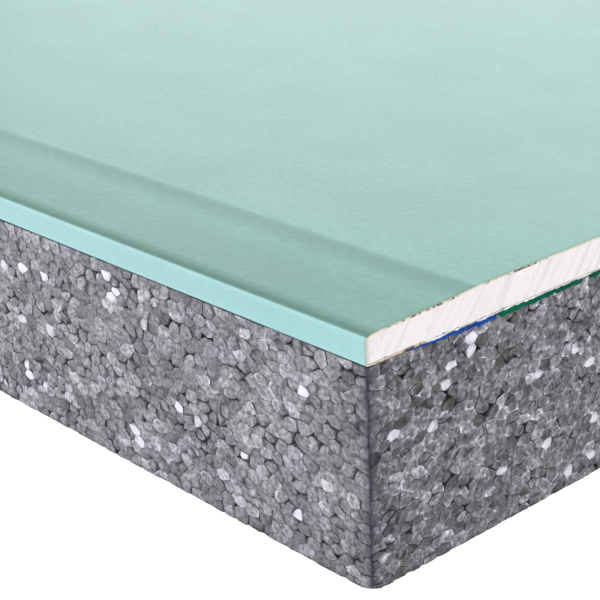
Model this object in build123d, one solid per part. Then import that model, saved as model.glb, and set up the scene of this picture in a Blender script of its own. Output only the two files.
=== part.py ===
from build123d import *
import os

# Sheet: length along X, width along Y, foam side down
sheet_length = 2500.0
sheet_width = 1200.0
insulation_thickness = 80.0
board_thickness = 12.5

# Liner papers
paper_thickness = 0.4
lap_width = 25.0
back_margin = 3.0

# Tapered long edges: a short ramp below the flat face, then a shallow run out to the arris
taper_width = 50.0
ramp_width = 12.0
ramp_drop = 0.7
run_drop = 1.0
arris_width = 6.0
arris_drop = 0.9
bend_radius = 0.8

# Stations across the half section, measured from the middle of the sheet
half_width = sheet_width / 2
knee_y = half_width - taper_width
ramp_foot_y = knee_y + ramp_width
arris_y = half_width - arris_width

# Heights of the board's surfaces above the floor
back_level = insulation_thickness
lap_level = back_level + paper_thickness
face_level = back_level + board_thickness
ramp_foot_level = face_level - ramp_drop
arris_level = ramp_foot_level - run_drop
edge_level = arris_level - arris_drop


def stock(section):
    """Draw a section out to the full sheet length, half to each side of the middle."""
    return extrude(section, amount=sheet_length / 2, both=True)


# Outside of the wrapped liner, drawn as one half and mirrored
run_slope = (arris_y - ramp_foot_y, arris_level - ramp_foot_level)
with BuildSketch(Plane.YZ) as wrapped_board:
    with BuildLine():
        Polyline(
            (0, face_level),
            (knee_y, face_level),
            (ramp_foot_y, ramp_foot_level),
            (arris_y, arris_level),
        )
        TangentArc((arris_y, arris_level), (half_width, edge_level), tangent=run_slope)
        Polyline(
            (half_width, edge_level),
            (half_width, lap_level),
            (0, lap_level),
        )
        mirror(about=Plane.YZ)
    make_face()
    edge_corners = wrapped_board.vertices().filter_by_position(Axis.X, half_width, half_width)
    far_corners = wrapped_board.vertices().filter_by_position(Axis.X, -half_width, -half_width)
    fillet(edge_corners + far_corners, radius=bend_radius)

# Plaster fills the wrapped liner, and reaches the back liner between the two laps
with BuildSketch(Plane.YZ) as plaster:
    add(wrapped_board.sketch_local)
    offset(amount=-paper_thickness, mode=Mode.REPLACE)
    with Locations((0, lap_level + paper_thickness / 2)):
        Rectangle(sheet_width - 2 * lap_width, paper_thickness)

# The face liner is what the plaster leaves of the wrapped outline
with BuildSketch(Plane.YZ) as liner:
    add(wrapped_board.sketch_local)
    add(plaster.sketch_local, mode=Mode.SUBTRACT)

# The back liner stops short of both long edges
with BuildSketch(Plane.YZ) as backing:
    with Locations((0, back_level + paper_thickness / 2)):
        Rectangle(sheet_width - 2 * back_margin, paper_thickness)

# Foam board under the whole sheet
with BuildSketch(Plane.YZ) as foam:
    with Locations((0, insulation_thickness / 2)):
        Rectangle(sheet_width, insulation_thickness)

sections = {
    "insulation_board": foam,
    "gypsum_core": plaster,
    "face_paper": liner,
    "back_paper": backing,
}

os.makedirs("parts", exist_ok=True)
for name, section in sections.items():
    export_step(stock(section.sketch), f"parts/{name}.step")
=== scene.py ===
"""Looks of an insulated plasterboard sheet: bead foam, sawn plaster, green liner and end marks."""

import logging
import math
from dataclasses import dataclass, field, replace
from enum import Enum

import bpy
import numpy as np
from mathutils import Matrix, Vector, noise
from mathutils.geometry import delaunay_2d_cdt


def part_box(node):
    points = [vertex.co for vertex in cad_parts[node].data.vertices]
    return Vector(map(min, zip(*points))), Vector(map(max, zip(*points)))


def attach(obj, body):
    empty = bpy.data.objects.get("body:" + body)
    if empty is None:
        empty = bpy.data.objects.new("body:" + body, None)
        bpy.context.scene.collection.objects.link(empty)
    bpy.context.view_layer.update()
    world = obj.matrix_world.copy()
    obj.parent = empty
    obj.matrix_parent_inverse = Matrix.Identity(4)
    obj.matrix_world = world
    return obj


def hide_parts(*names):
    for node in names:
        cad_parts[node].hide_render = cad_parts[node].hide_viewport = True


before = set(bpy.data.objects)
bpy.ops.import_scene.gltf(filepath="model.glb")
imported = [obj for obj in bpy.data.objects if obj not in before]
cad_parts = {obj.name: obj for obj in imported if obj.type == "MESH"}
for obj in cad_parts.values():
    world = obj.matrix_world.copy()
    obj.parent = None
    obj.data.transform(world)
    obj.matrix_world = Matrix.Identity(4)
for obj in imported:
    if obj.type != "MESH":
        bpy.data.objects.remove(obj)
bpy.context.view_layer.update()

LOG = logging.getLogger("sheet")
MM = 0.001
BEAD_PAINT = "bead_paint"
BAKE_MAP = "OFBake"
IMAGE_PIXELS = 600
TINY = 1e-6
NO_FACES = np.empty((0, 4), int)
SAW_SLANT = math.radians(38)

# Fall-off, spacing and octaves of the noise on uneven cuts
UNEVEN = (0.6, 2.0, 4)

Colour = tuple[float, float, float, float]
Range = tuple[float, float]
Triple = tuple[float, float, float]
Stops = tuple[Range, ...]
WHITE: Colour = (1.0, 1.0, 1.0, 1.0)
Socket = bpy.types.NodeSocket

# Numbers of the two colours and of the mixed colour among a mix node's sockets
MIX_FIRST, MIX_SECOND, MIX_RESULT = 6, 7, 2


def srgb(red: int, green: int, blue: int) -> Colour:
    """Turn a colour seen on screen into the linear colour that a shader takes.

    Args:
        red: Red, 0 to 255.
        green: Green, 0 to 255.
        blue: Blue, 0 to 255.

    Returns:
        The linear colour with an alpha of one.
    """
    parts = [value / 255 for value in (red, green, blue)]
    linear = [p / 12.92 if p <= 0.04045 else ((p + 0.055) / 1.055) ** 2.4 for p in parts]
    return (linear[0], linear[1], linear[2], 1.0)


def direction(azimuth: float, elevation: float) -> Vector:
    """Give the unit vector of a compass direction and a height above the floor, both in degrees."""
    turn, lift = math.radians(azimuth), math.radians(elevation)
    return Vector((math.cos(turn) * math.cos(lift), math.sin(turn) * math.cos(lift), math.sin(lift)))


class Side(Enum):
    """The four upright sides of the foam board, as (start corner, run, outward) signs of X and Y."""

    LEFT = ((-1, -1), (1, 0), (0, -1))
    NEAR = ((1, -1), (0, 1), (1, 0))
    RIGHT = ((1, 1), (-1, 0), (0, 1))
    FAR = ((-1, 1), (0, -1), (-1, 0))


class Band(Enum):
    """The two halves of a foam side, as shares of its height."""

    LOWER = (0.0, 0.5)
    UPPER = (0.5, 1.0)


@dataclass(frozen=True)
class CutStyle:
    """How a blade leaves the beads: grooves, holes, rims and how far the beads dish or bulge."""

    grey: float
    groove: float
    groove_depth: float
    # Tone of the groove floors: painted dark as the shade in the grooves
    ground: float
    pale_ground: float
    pale_share: float
    hole_share: float
    highlight_crescent_share: float
    rim_range: Range
    dish: float
    dish_spread: float
    fleck_share: float
    white_share: float
    grey_spread: float
    pitch: float
    aspect: float
    tear: float
    blotch: float
    ragged_top: float


class Cut(Enum):
    """The two kinds of cut on the foam: trimmed long sides and sawn ends."""

    TRIMMED = CutStyle(
        grey=0.235, groove=0.10 * MM, groove_depth=0.35 * MM, ground=0.09, pale_ground=0.32, pale_share=0.22,
        hole_share=0.11, highlight_crescent_share=0.25, rim_range=(0.65, 1.3), dish=0.1, dish_spread=0.45,
        fleck_share=0.02, white_share=0.025, grey_spread=0.29, pitch=4.9 * MM, aspect=1.34,
        tear=0.9, blotch=0.15, ragged_top=0.12 * MM,
    )
    # The sawn ends' darker grey is partly painted shade, for the self-shadowing of their rougher beads
    SAWN = CutStyle(
        grey=0.140, groove=0.18 * MM, groove_depth=0.3 * MM, ground=0.08, pale_ground=0.40, pale_share=0.7,
        hole_share=0.075, highlight_crescent_share=0.5, rim_range=(0.9, 2.7), dish=0.25, dish_spread=0.8,
        fleck_share=0.07, white_share=0.038, grey_spread=0.36, pitch=4.3 * MM, aspect=1.36,
        tear=2.6, blotch=0.4, ragged_top=0.4 * MM,
    )


class End(Enum):
    """The two cut ends of the sheet, as the sign of X."""

    NEAR = 1
    FAR = -1


class LinerSlot(Enum):
    """The liner's material slots: its face, its sawn ends, and its turned edge with the lap."""

    FACE = 0
    CUT = 1
    EDGE = 2


class PlasterSlot(Enum):
    """The plaster's material slots: its clean body, and the fibres beside each liner."""

    CLEAN = 0
    UNDER_FACE = 1
    OVER_BACK = 2


class Graph:
    """A node tree of a material or of the world, with short calls that add nodes and join them."""

    def __init__(self, owner: bpy.types.Material | bpy.types.World) -> None:
        """Empty the owner's node tree and give it its output node.

        Args:
            owner: The material or world.
        """
        owner.use_nodes = True
        self.owner = owner
        self.tree = owner.node_tree
        self.tree.nodes.clear()
        kind = "World" if isinstance(owner, bpy.types.World) else "Material"
        self.output = self.tree.nodes.new("ShaderNodeOutput" + kind)

    def add(self, kind: str, inputs: dict | None = None, **settings: object) -> bpy.types.Node:
        """Add one node.

        Args:
            kind: The node's type, without its leading "ShaderNode".
            inputs: Values or output sockets for its input sockets, by name or number.
            settings: The node's own properties.

        Returns:
            The new node.
        """
        node = self.tree.nodes.new("ShaderNode" + kind)
        for name, value in settings.items():
            setattr(node, name, value)
        for key, value in (inputs or {}).items():
            if isinstance(value, Socket):
                self.tree.links.new(value, node.inputs[key])
            else:
                node.inputs[key].default_value = value
        return node

    def math(self, operation: str, *values: Socket | float) -> Socket:
        """Join values with one sum and return its result."""
        return self.add("Math", dict(enumerate(values)), operation=operation).outputs[0]

    def blend(self, share: Socket | float, first: Socket | Colour, second: Socket | Colour,
              how: str = "MIX") -> Socket:
        """Mix two colours by a share and return the mixed colour."""
        inputs = {0: share, MIX_FIRST: first, MIX_SECOND: second}
        return self.add("Mix", inputs, data_type="RGBA", blend_type=how).outputs[MIX_RESULT]

    def ramp(self, value: Socket, low: float, high: float, start: float = 0, end: float = 1) -> Socket:
        """Stretch a value from one range to another, held at both ends."""
        inputs = {"Value": value, "From Min": low, "From Max": high, "To Min": start, "To Max": end}
        return self.add("MapRange", inputs).outputs["Result"]

    def curve(self, value: Socket, stops: Stops) -> Socket:
        """Give a grey that follows stops along a value.

        Args:
            value: The socket that is followed.
            stops: Rising values, each with its grey.

        Returns:
            The grey as a colour.
        """
        span = stops[-1][0]
        node = self.add("ValToRGB", {0: self.ramp(value, 0.0, span)})
        marks = node.color_ramp.elements
        for place, _ in stops[1:-1]:
            marks.new(place / span)
        for mark, (_, grey) in zip(marks, stops):
            mark.color = (grey, grey, grey, 1.0)
        return node.outputs["Color"]

    def place(self, scale: Triple = (1, 1, 1), turn: Triple = (0, 0, 0)) -> Socket:
        """Give the piece's own coordinates in metres, turned and then stretched.

        Args:
            scale: The stretch along each axis.
            turn: The turn about each axis.

        Returns:
            The coordinates.
        """
        spot = self.add("TexCoord").outputs["Object"]
        turned = self.add("Mapping", {"Vector": spot, "Rotation": turn}).outputs[0]
        return self.add("Mapping", {"Vector": turned, "Scale": scale}).outputs[0]

    def grain(self, per_metre: float, detail: float = 2.0, vector: Socket | None = None) -> Socket:
        """Give soft noise with that many grains to the metre."""
        spot = vector or self.place()
        return self.add("TexNoise", {"Vector": spot, "Scale": per_metre, "Detail": detail}).outputs["Fac"]

    def looked_at(self) -> Socket:
        """Tell the rays that look at a surface from those that light it.

        Returns:
            One for a ray from the camera, a mirror or a glass, and otherwise zero.
        """
        paths = self.add("LightPath").outputs
        seen = self.math("MAXIMUM", paths["Is Camera Ray"], paths["Is Glossy Ray"])
        return self.math("MAXIMUM", seen, paths["Is Transmission Ray"])

    def bump(self, height: Socket, depth: float) -> Socket:
        """Turn a height into a bumped normal of that depth in metres."""
        return self.add("Bump", {"Height": height, "Distance": depth}).outputs[0]

    def surface(self, colour: Socket, roughness: float, gloss: float,
                normal: Socket | None = None) -> bpy.types.Material:
        """End a material with its shader.

        Args:
            colour: The colour's socket.
            roughness: How rough the surface is.
            gloss: The specular level.
            normal: The bumped normal's socket, if there is one.

        Returns:
            The finished material.
        """
        shader = self.add("BsdfPrincipled", {"Base Color": colour})
        shader.inputs["Roughness"].default_value = roughness
        shader.inputs["Specular IOR Level"].default_value = gloss
        if normal is not None:
            self.tree.links.new(normal, shader.inputs["Normal"])
        return self.finish(shader)

    def finish(self, shader: bpy.types.Node) -> bpy.types.Material | bpy.types.World:
        """Join the shader to the output and return the owner."""
        self.tree.links.new(shader.outputs[0], self.output.inputs["Surface"])
        return self.owner


def new_graph(name: str) -> Graph:
    """Start the node tree of a new material."""
    return Graph(bpy.data.materials.new(name))


@dataclass(frozen=True)
class LinerFinish:
    """Smooth green liner paper with faint cloudy fibres along the sheet; painted shade on its tapered edges
    and upright edge.
    """

    name: str
    half_width: float
    lap_level: float
    painted_taper_shade: Stops = ()
    painted_edge_shading: Stops = ()
    base: Colour = srgb(148, 202, 191)
    shade: Colour = srgb(135, 188, 176)
    fibres_per_metre: float = 420.0
    fibre_stretch: Triple = (0.75, 1.0, 1.0)
    fibre_share: float = 0.6
    fibre_relief: float = 0.03 * MM
    clouds_per_metre: float = 28.0
    cloud_share: float = 0.4
    shade_range: Range = (0.36, 0.64)
    taper_shade_tint: Triple = (1.25, 1.0, 1.1)
    roughness: float = 0.4
    gloss: float = 0.5

    def material(self) -> bpy.types.Material:
        """Build the liner's material.

        Returns:
            The finished material.
        """
        graph = new_graph(self.name)
        along = graph.place(self.fibre_stretch)
        fibres = graph.grain(self.fibres_per_metre, detail=4.0, vector=along)
        clouds = graph.grain(self.clouds_per_metre, detail=3.0, vector=along)
        cloudy = graph.math("MULTIPLY", clouds, self.cloud_share)
        both = graph.math("MULTIPLY_ADD", fibres, self.fibre_share, cloudy)
        colour = graph.blend(graph.ramp(both, *self.shade_range), self.shade, self.base)
        spot = graph.add("SeparateXYZ", {0: graph.place()}).outputs
        # Painted shade across the tapered edge, tinted greener, by distance in from the long edge
        if self.painted_taper_shade:
            inset = graph.math("SUBTRACT", self.half_width, graph.math("ABSOLUTE", spot["Y"]))
            shade = graph.curve(inset, self.painted_taper_shade)
            deep = {part: graph.math("POWER", shade, power) for part, power in enumerate(self.taper_shade_tint)}
            colour = graph.blend(1.0, colour, graph.add("CombineColor", deep).outputs[0], "MULTIPLY")
        # Painted shading on the upright edge: darker between the bends, so that the bends look lit
        if self.painted_edge_shading:
            rise = graph.math("SUBTRACT", spot["Z"], self.lap_level)
            colour = graph.blend(1.0, colour, graph.curve(rise, self.painted_edge_shading), "MULTIPLY")
        return graph.surface(colour, self.roughness, self.gloss, graph.bump(fibres, self.fibre_relief))


@dataclass(frozen=True)
class KraftFinish:
    """Bare brown paper fibres, as on the back liner and where the saw has cut through a liner."""

    name: str
    pale: Colour
    dark: Colour
    flecks_per_metre: float = 480.0
    clusters_per_metre: float = 45.0
    cluster_share: float = 0.9
    dark_range: Range = (0.96, 1.1)
    relief: float = 0.2 * MM
    roughness: float = 0.9
    gloss: float = 0.2

    def material(self) -> bpy.types.Material:
        """Build the bare paper's material.

        Returns:
            The finished material.
        """
        graph = new_graph(self.name)
        flecks = graph.grain(self.flecks_per_metre, detail=3.0)
        clusters = graph.grain(self.clusters_per_metre)
        both = graph.math("MULTIPLY_ADD", clusters, self.cluster_share, flecks)
        colour = graph.blend(graph.ramp(both, *self.dark_range), self.pale, self.dark)
        return graph.surface(colour, self.roughness, self.gloss, graph.bump(flecks, self.relief))


@dataclass(frozen=True)
class PlasterFinish:
    """White plaster with slanting saw strokes and small pits."""

    base: Colour = srgb(243, 239, 240)
    stroke: Colour = srgb(224, 218, 218)
    pit: Colour = srgb(186, 178, 174)
    strokes_per_metre: float = 420.0
    stroke_stretch: Triple = (1.0, 1.0, 0.08)
    stroke_range: Range = (0.46, 0.78)
    stroke_relief: float = 0.05 * MM
    pits_per_metre: float = 700.0
    pit_range: Range = (0.7, 0.78)
    roughness: float = 0.95
    gloss: float = 0.2

    def material(self) -> bpy.types.Material:
        """Build the plaster's material.

        Returns:
            The finished material.
        """
        graph = new_graph("sawn_plaster")
        slanted = graph.place(self.stroke_stretch, (SAW_SLANT, 0, 0))
        strokes = graph.grain(self.strokes_per_metre, detail=2.5, vector=slanted)
        pits = graph.grain(self.pits_per_metre)
        colour = graph.blend(graph.ramp(strokes, *self.stroke_range), self.base, self.stroke)
        colour = graph.blend(graph.ramp(pits, *self.pit_range), colour, self.pit)
        return graph.surface(colour, self.roughness, self.gloss, graph.bump(strokes, self.stroke_relief))


@dataclass(frozen=True)
class BeadFinish:
    """Cut bead foam, from the paint stored in the mesh: tone, rim tone, place in the bead, dish in mm."""

    cut: Cut
    half_length: float
    half_width: float
    warm: Colour = (1.02, 1.0, 1.08, 1.0)
    cool: Colour = (0.98, 0.97, 1.12, 1.0)
    # Tint of the darkening: handling wear at the upright corners, painted contact shade at the foot
    wear_and_foot_shade: Colour = (0.10, 0.09, 0.18, 1.0)
    stain_reach: Stops = (
        (0.0, 1.0), (0.8 * MM, 0.93), (1.5 * MM, 0.72), (2.1 * MM, 0.56),
        (3 * MM, 0.42), (5 * MM, 0.19), (16 * MM, 0.0),
    )
    # Painted contact shade at the foot, darkest where the foam meets the floor
    foot_shade: float = 0.3
    foot_height: float = 3.0 * MM
    clouds_per_metre: float = 40.0
    cloud_range: Range = (0.4, 0.6)
    tears_per_metre: float = 520.0
    tear_middle: float = 0.5
    blotches_per_metre: float = 330.0
    blotch_range: Range = (0.36, 0.64)
    cells_per_metre: float = 640.0
    cell_range: Range = (0.34, 0.66)
    cell_mottle: Range = (0.5, 1.5)
    cell_relief: float = 0.12
    specks_per_metre: float = 1900.0
    speck_range: Range = (0.34, 0.66)
    speck_mottle: Range = (0.78, 1.22)
    rim_range: Range = (0.6, 0.97)
    pale_range: Range = (0.4, 0.8)
    roughness: float = 0.6
    gloss: float = 0.4

    def material(self) -> bpy.types.Material:
        """Build the material of the cut sides.

        Returns:
            The finished material.
        """
        style = self.cut.value
        graph = new_graph(f"{self.cut.name}_bead_foam".lower())
        paint = graph.add("Attribute", attribute_name=BEAD_PAINT)
        tone, rim, radius = graph.add("SeparateColor", {0: paint.outputs["Color"]}).outputs
        tears = graph.math("SUBTRACT", graph.grain(self.tears_per_metre, detail=3.0), self.tear_middle)
        torn = graph.math("MULTIPLY_ADD", tears, style.tear, radius)
        at_rim = graph.ramp(torn, *self.rim_range)
        grey = graph.math("MULTIPLY_ADD", at_rim, graph.math("SUBTRACT", rim, tone), tone)
        cells = graph.grain(self.cells_per_metre, detail=4.0)
        specks = graph.grain(self.specks_per_metre)
        mottle = graph.math("MULTIPLY", graph.ramp(cells, *self.cell_range, *self.cell_mottle),
                            graph.ramp(specks, *self.speck_range, *self.speck_mottle))
        blotches = graph.grain(self.blotches_per_metre)
        blotch_mottle = (1 - style.blotch, 1 + style.blotch)
        mottle = graph.math("MULTIPLY", mottle, graph.ramp(blotches, *self.blotch_range, *blotch_mottle))
        pale = graph.ramp(grey, *self.pale_range)
        mottle = graph.math("MULTIPLY_ADD", pale, graph.math("SUBTRACT", 1.0, mottle), mottle)
        clouds = graph.ramp(graph.grain(self.clouds_per_metre), *self.cloud_range)
        tint = graph.blend(clouds, self.warm, self.cool)
        colour = graph.blend(1.0, graph.math("MULTIPLY", grey, mottle), tint, "MULTIPLY")
        colour = graph.blend(self.stained(graph), colour, self.wear_and_foot_shade, "MULTIPLY")
        bowl = graph.math("MULTIPLY", paint.outputs["Alpha"], graph.math("MULTIPLY", radius, radius))
        height = graph.math("MULTIPLY_ADD", cells, self.cell_relief, bowl)
        return graph.surface(colour, self.roughness, self.gloss, graph.bump(height, MM))

    def stained(self, graph: Graph) -> Socket:
        """Give how much the foam is darkened: by handling most at the upright corners, and by a painted
        contact shade at the foot.

        Args:
            graph: The node tree that it is added to.

        Returns:
            The share of the stain.
        """
        spot = graph.add("SeparateXYZ", {0: graph.place()}).outputs
        end_inset = graph.math("SUBTRACT", self.half_length, graph.math("ABSOLUTE", spot["X"]))
        side_inset = graph.math("SUBTRACT", self.half_width, graph.math("ABSOLUTE", spot["Y"]))
        to_corner = graph.math("MAXIMUM", end_inset, side_inset)
        foot = graph.ramp(spot["Z"], 0.0, self.foot_height, self.foot_shade, 0.0)
        return graph.math("MAXIMUM", graph.curve(to_corner, self.stain_reach), foot)


@dataclass(frozen=True)
class MouldedFoamFinish:
    """Flat faces of the foam board: pressed beads with thin seams and a few white ones."""

    pale: Colour = srgb(150, 149, 154)
    deep: Colour = srgb(112, 111, 117)
    seam: Colour = srgb(62, 61, 66)
    white: Colour = srgb(236, 236, 238)
    beads_per_metre: float = 190.0
    scatter: float = 0.85
    white_share: float = 0.018
    seam_range: Range = (0.01, 0.07)
    crown_range: Range = (0.0, 0.15)
    crown_relief: float = 0.4 * MM
    cells_per_metre: float = 1000.0
    cell_range: Range = (0.3, 0.7)
    cell_mottle: Range = (0.7, 1.3)
    roughness: float = 0.6
    gloss: float = 0.4

    def material(self) -> bpy.types.Material:
        """Build the material of the board's flat faces.

        Returns:
            The finished material.
        """
        graph = new_graph("moulded_bead_foam")
        settings = {"Vector": graph.place(), "Scale": self.beads_per_metre, "Randomness": self.scatter}
        bead = graph.add("TexVoronoi", settings).outputs["Color"]
        edge = graph.add("TexVoronoi", settings, feature="DISTANCE_TO_EDGE").outputs["Distance"]
        pick = graph.add("SeparateColor", {0: bead})
        colour = graph.blend(pick.outputs[0], self.deep, self.pale)
        is_white = graph.math("LESS_THAN", pick.outputs[1], self.white_share)
        colour = graph.blend(is_white, colour, self.white)
        colour = graph.blend(graph.ramp(edge, *self.seam_range), self.seam, colour)
        cells = graph.grain(self.cells_per_metre, detail=4.0)
        mottle = graph.ramp(cells, *self.cell_range, *self.cell_mottle)
        colour = graph.blend(1.0, colour, mottle, "MULTIPLY")
        crowns = graph.bump(graph.ramp(edge, *self.crown_range), self.crown_relief)
        return graph.surface(colour, self.roughness, self.gloss, crowns)


@dataclass(frozen=True)
class FilmFinish:
    """Film or glue along the joint, rubbed here and there."""

    name: str
    base: Colour
    rubbed: Colour
    wear_per_metre: float = 450.0
    wear_range: Range = (0.6, 0.74)
    patches_per_metre: float = 90.0
    patch_range: Range = (0.4, 0.6)
    patch_mottle: Range = (0.72, 1.12)
    roughness: float = 0.7
    gloss: float = 0.05

    def material(self) -> bpy.types.Material:
        """Build the film's material.

        Returns:
            The finished material.
        """
        graph = new_graph(self.name)
        wear = graph.grain(self.wear_per_metre, detail=4.0)
        patches = graph.grain(self.patches_per_metre, detail=3.0)
        colour = graph.blend(graph.ramp(wear, *self.wear_range), self.base, self.rubbed)
        mottle = graph.ramp(patches, *self.patch_range, *self.patch_mottle)
        colour = graph.blend(1.0, colour, mottle, "MULTIPLY")
        return graph.surface(colour, self.roughness, self.gloss)


@dataclass
class Shell:
    """Points and faces of one mesh while it is put together."""

    points: list = field(default_factory=list)
    faces: list = field(default_factory=list)
    slots: list = field(default_factory=list)
    soft: list = field(default_factory=list)
    count: int = 0

    def add(self, points: np.ndarray, faces: np.ndarray, slot: int | np.ndarray = 0,
            soft: bool | np.ndarray = True) -> int:
        """Add points and the faces that join them.

        Args:
            points: Places, one row each.
            faces: Rows of point numbers, counted from the first of these points.
            slot: The material slot, of all the faces or of each.
            soft: Whether faces are shaded smooth, for all or for each.

        Returns:
            The number of the first new point in the whole mesh.
        """
        first = self.count
        self.points.append(np.asarray(points, float))
        self.count += len(points)
        self.join(np.asarray(faces) + first, slot, soft)
        return first

    def join(self, faces: np.ndarray, slot: int | np.ndarray = 0,
             soft: bool | np.ndarray = True) -> None:
        """Add faces between points that are already there.

        Args:
            faces: Rows of point numbers, counted in the whole mesh.
            slot: The material slot, of all the faces or of each.
            soft: Whether faces are shaded smooth, for all or for each.
        """
        rows = np.asarray(faces).tolist()
        self.faces.extend(rows)
        self.slots.extend(np.broadcast_to(slot, len(rows)).tolist())
        self.soft.extend(np.broadcast_to(soft, len(rows)).tolist())

    def tube(self, rows: list[np.ndarray]) -> None:
        """Add a closed tube with a flat face over each end.

        Args:
            rows: The tube's long lines of points, in order round it.
        """
        width, count = len(rows[0]), len(rows)
        self.add(np.concatenate(rows), strip_quads(width, count), soft=False)
        step = np.arange(width - 1)
        last = width * (count - 1)
        self.join(np.column_stack([step + last, step + 1 + last, step + 1, step]), soft=False)
        ring = np.arange(count) * width
        self.join([ring, ring[::-1] + width - 1], soft=False)

    def to_object(self, name: str, *materials: bpy.types.Material) -> bpy.types.Object:
        """Make the mesh and its object.

        Args:
            name: The piece's name.
            materials: One material for each slot.

        Returns:
            The new object, linked to the scene.
        """
        mesh = bpy.data.meshes.new(name)
        mesh.from_pydata(np.concatenate(self.points).tolist(), [], self.faces)
        for material in materials:
            mesh.materials.append(material)
        mesh.polygons.foreach_set("material_index", self.slots)
        mesh.polygons.foreach_set("use_smooth", self.soft)
        mesh.update()
        piece = bpy.data.objects.new(name, mesh)
        bpy.context.scene.collection.objects.link(piece)
        return piece


def place_piece(piece: bpy.types.Object, node: str) -> bpy.types.Object:
    """Let a piece ride on the sheet and stand for its CAD node, which is hidden.

    Args:
        piece: The finished piece.
        node: The CAD node that it stands for.

    Returns:
        The same piece.
    """
    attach(piece, "root")
    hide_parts(node)
    LOG.info("%s: %d faces for %s", piece.name, len(piece.data.polygons), node)
    return piece


def strip_quads(width: int, rows: int) -> np.ndarray:
    """Give the quads of a grid of points that is laid row by row.

    Args:
        width: Points in a row.
        rows: Rows of points.

    Returns:
        One row of four point numbers for each quad.
    """
    index = np.arange(width * rows).reshape(rows, width)
    corners = [index[:-1, :-1], index[:-1, 1:], index[1:, 1:], index[1:, :-1]]
    return np.stack(corners, -1).reshape(-1, 4)


def rounded(points: list, radius: float, steps: int) -> np.ndarray:
    """Round the inner corners of a line of points.

    Args:
        points: The line's corners as (y, z).
        radius: The radius of each round.
        steps: Short runs in each round.

    Returns:
        The rounded line, one point a row.
    """
    line = [np.array(points[0], float)]
    for before, corner, after in zip(points, points[1:], points[2:]):
        corner = np.array(corner, float)
        back = np.array(before, float) - corner
        ahead = np.array(after, float) - corner
        back /= np.linalg.norm(back)
        ahead /= np.linalg.norm(ahead)
        half = math.acos(np.clip(back @ ahead, -1, 1)) / 2
        reach = radius / math.tan(half)
        start = corner + back * reach
        end = corner + ahead * reach
        for share in np.linspace(0, 1, steps + 1):
            line.append((1 - share) ** 2 * start + 2 * share * (1 - share) * corner + share ** 2 * end)
    line.append(np.array(points[-1], float))
    return np.array(line)


@dataclass
class EdgeSection:
    """Half of the board's section: flat face, ramp, shallow run, arris, upright edge and lap."""

    half_width: float
    face_level: float
    lap_level: float
    paper: float
    taper_width: float = 50 * MM
    ramp_width: float = 12 * MM
    ramp_drop: float = 0.7 * MM
    run_drop: float = 1.0 * MM
    arris_width: float = 6 * MM
    arris_drop: float = 0.9 * MM
    bend_radius: float = 0.4 * MM
    bend_steps: int = 4
    lap_width: float = 25 * MM
    pitch: float = 1.0 * MM
    taper_density: int = 2
    soften: float = 3.0 * MM
    soften_steps: int = 9

    def drop(self, inset: np.ndarray) -> np.ndarray:
        """Give how far the face lies below its flat part.

        Args:
            inset: Distances in from the long edge.

        Returns:
            The drop at each distance.
        """
        foot = self.taper_width - self.ramp_width
        start = self.ramp_drop + self.run_drop
        run_slope = self.run_drop / (foot - self.arris_width)
        stations = [self.arris_width, foot, self.taper_width]
        taper = np.interp(inset, stations, [start, self.ramp_drop, 0.0])
        curve = self.arris_drop - run_slope * self.arris_width
        reach = np.clip((self.arris_width - inset) / self.arris_width, 0, 1)
        return taper + run_slope * self.arris_width * reach + curve * reach ** 2

    def face_line(self) -> np.ndarray:
        """Give the face from the middle of the sheet to the top of its edge.

        Returns:
            The line, one (y, z) point a row.
        """
        fine = self.taper_width + self.soften
        flat = np.linspace(self.half_width, fine, int((self.half_width - fine) / self.pitch))
        taper = np.linspace(fine, 0, int(self.taper_density * fine / self.pitch))
        inset = np.concatenate([flat, taper[1:]])
        spread = np.linspace(-self.soften, self.soften, self.soften_steps)
        soft = np.mean([self.drop(np.maximum(inset + step, self.arris_width)) for step in spread], axis=0)
        drop = np.where(inset < self.arris_width, self.drop(inset), soft)
        return np.column_stack([self.half_width - inset, self.face_level - drop])

    def outline(self) -> np.ndarray:
        """Give the liner's outside from the middle of the face round the edge to the lap's end.

        Returns:
            The line, one (y, z) point a row.
        """
        face = self.face_line()
        heel = (self.half_width, self.lap_level)
        lap_end = (self.half_width - self.lap_width, self.lap_level)
        wrap = rounded([face[-2], face[-1], heel, lap_end], self.bend_radius, self.bend_steps)
        lap = np.linspace(wrap[-2], wrap[-1], int(self.lap_width / self.pitch))
        return np.concatenate([face[:-1], wrap[1:-2], lap])

    def inner(self) -> np.ndarray:
        """Give the liner's inside: the outline moved in by the paper's thickness.

        Returns:
            The line, one (y, z) point a row.
        """
        outline = self.outline()
        along = np.gradient(outline, axis=0)
        along /= np.linalg.norm(along, axis=1, keepdims=True)
        return outline + np.column_stack([along[:, 1], -along[:, 0]]) * self.paper


def mirrored(half: np.ndarray) -> np.ndarray:
    """Give a half line from the middle out, with its mirror image before it."""
    return np.concatenate([half[:0:-1] * [-1, 1], half])


def ragged(points: np.ndarray, depth: float, salt: float, per_metre: float = 0.35 / MM,
           middle: float = 0.5, spread: float = 0.6) -> np.ndarray:
    """Give small uneven depths along a cut.

    Args:
        points: Places on the cut as (y, z).
        depth: The greatest depth.
        salt: A number that sets one cut apart from another.
        per_metre: How many uneven spots there are to the metre.
        middle: The usual share of the depth.
        spread: How far the share strays from that.

    Returns:
        A depth for each place.
    """
    rough = [noise.fractal((y * per_metre, z * per_metre, salt), *UNEVEN) for y, z in points]
    return depth * np.clip(middle + spread * np.array(rough), 0, 1)


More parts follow.
